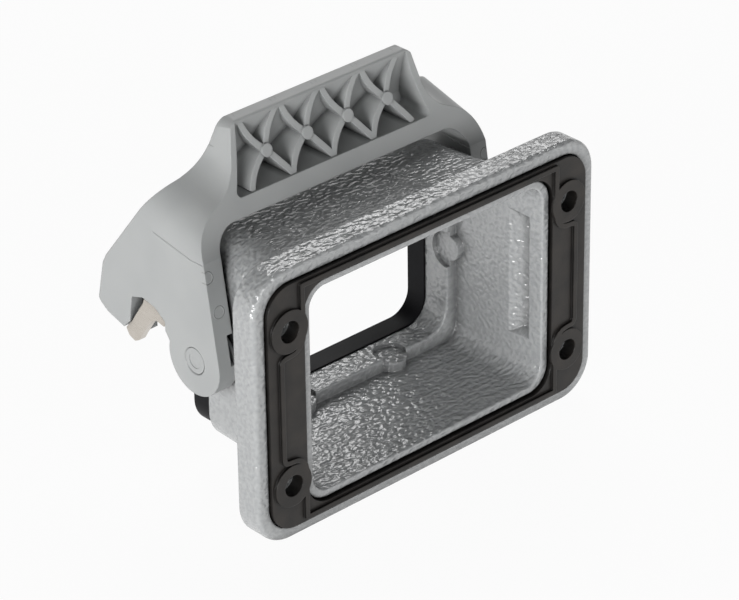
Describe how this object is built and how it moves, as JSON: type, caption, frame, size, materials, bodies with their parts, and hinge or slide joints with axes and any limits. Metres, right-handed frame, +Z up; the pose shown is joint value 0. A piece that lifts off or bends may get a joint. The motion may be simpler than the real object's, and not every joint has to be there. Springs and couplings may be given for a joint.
{
  "type": "heavy duty rectangular connector housing",
  "caption": "Bulkhead housing for a rectangular power connector, with panel gasket, mating seal and a swinging lever that hooks and locks the cable hood.",
  "frame": {"origin": "centre of the four-screw pattern, in the plane of the flange's front metal rim", "axes": "+X along the long side, +Y the mating direction away from the panel, +Z up towards the lever's grip"},
  "size_m": [0.0852, 0.0534, 0.07],
  "materials": {
    "housing_coat": "hammered powder coat, light grey",
    "gasket_rubber": "moulded black rubber",
    "seal_rubber": "moulded black rubber",
    "lever_plastic": "satin moulded polycarbonate, light grey",
    "pin_steel": "painted light grey",
    "clip_steel": "bright stainless sheet"
  },
  "bodies": {
    "body": {"housing": "housing_coat", "flange_gasket": "gasket_rubber", "mating_seal": "seal_rubber", "pivot_pin_left": "pin_steel", "pivot_pin_right": "pin_steel"},
    "lever": {"locking_lever": "lever_plastic", "hook_clip_left": "clip_steel", "hook_clip_right": "clip_steel"}
  },
  "joints": [
    {"name": "lever_pivot", "type": "hinge", "parent": "body", "child": "lever", "pos_m": [0, 0.0251, -0.0009], "axis": [1, 0, 0], "range_deg": [-90, 20]}
  ]
}
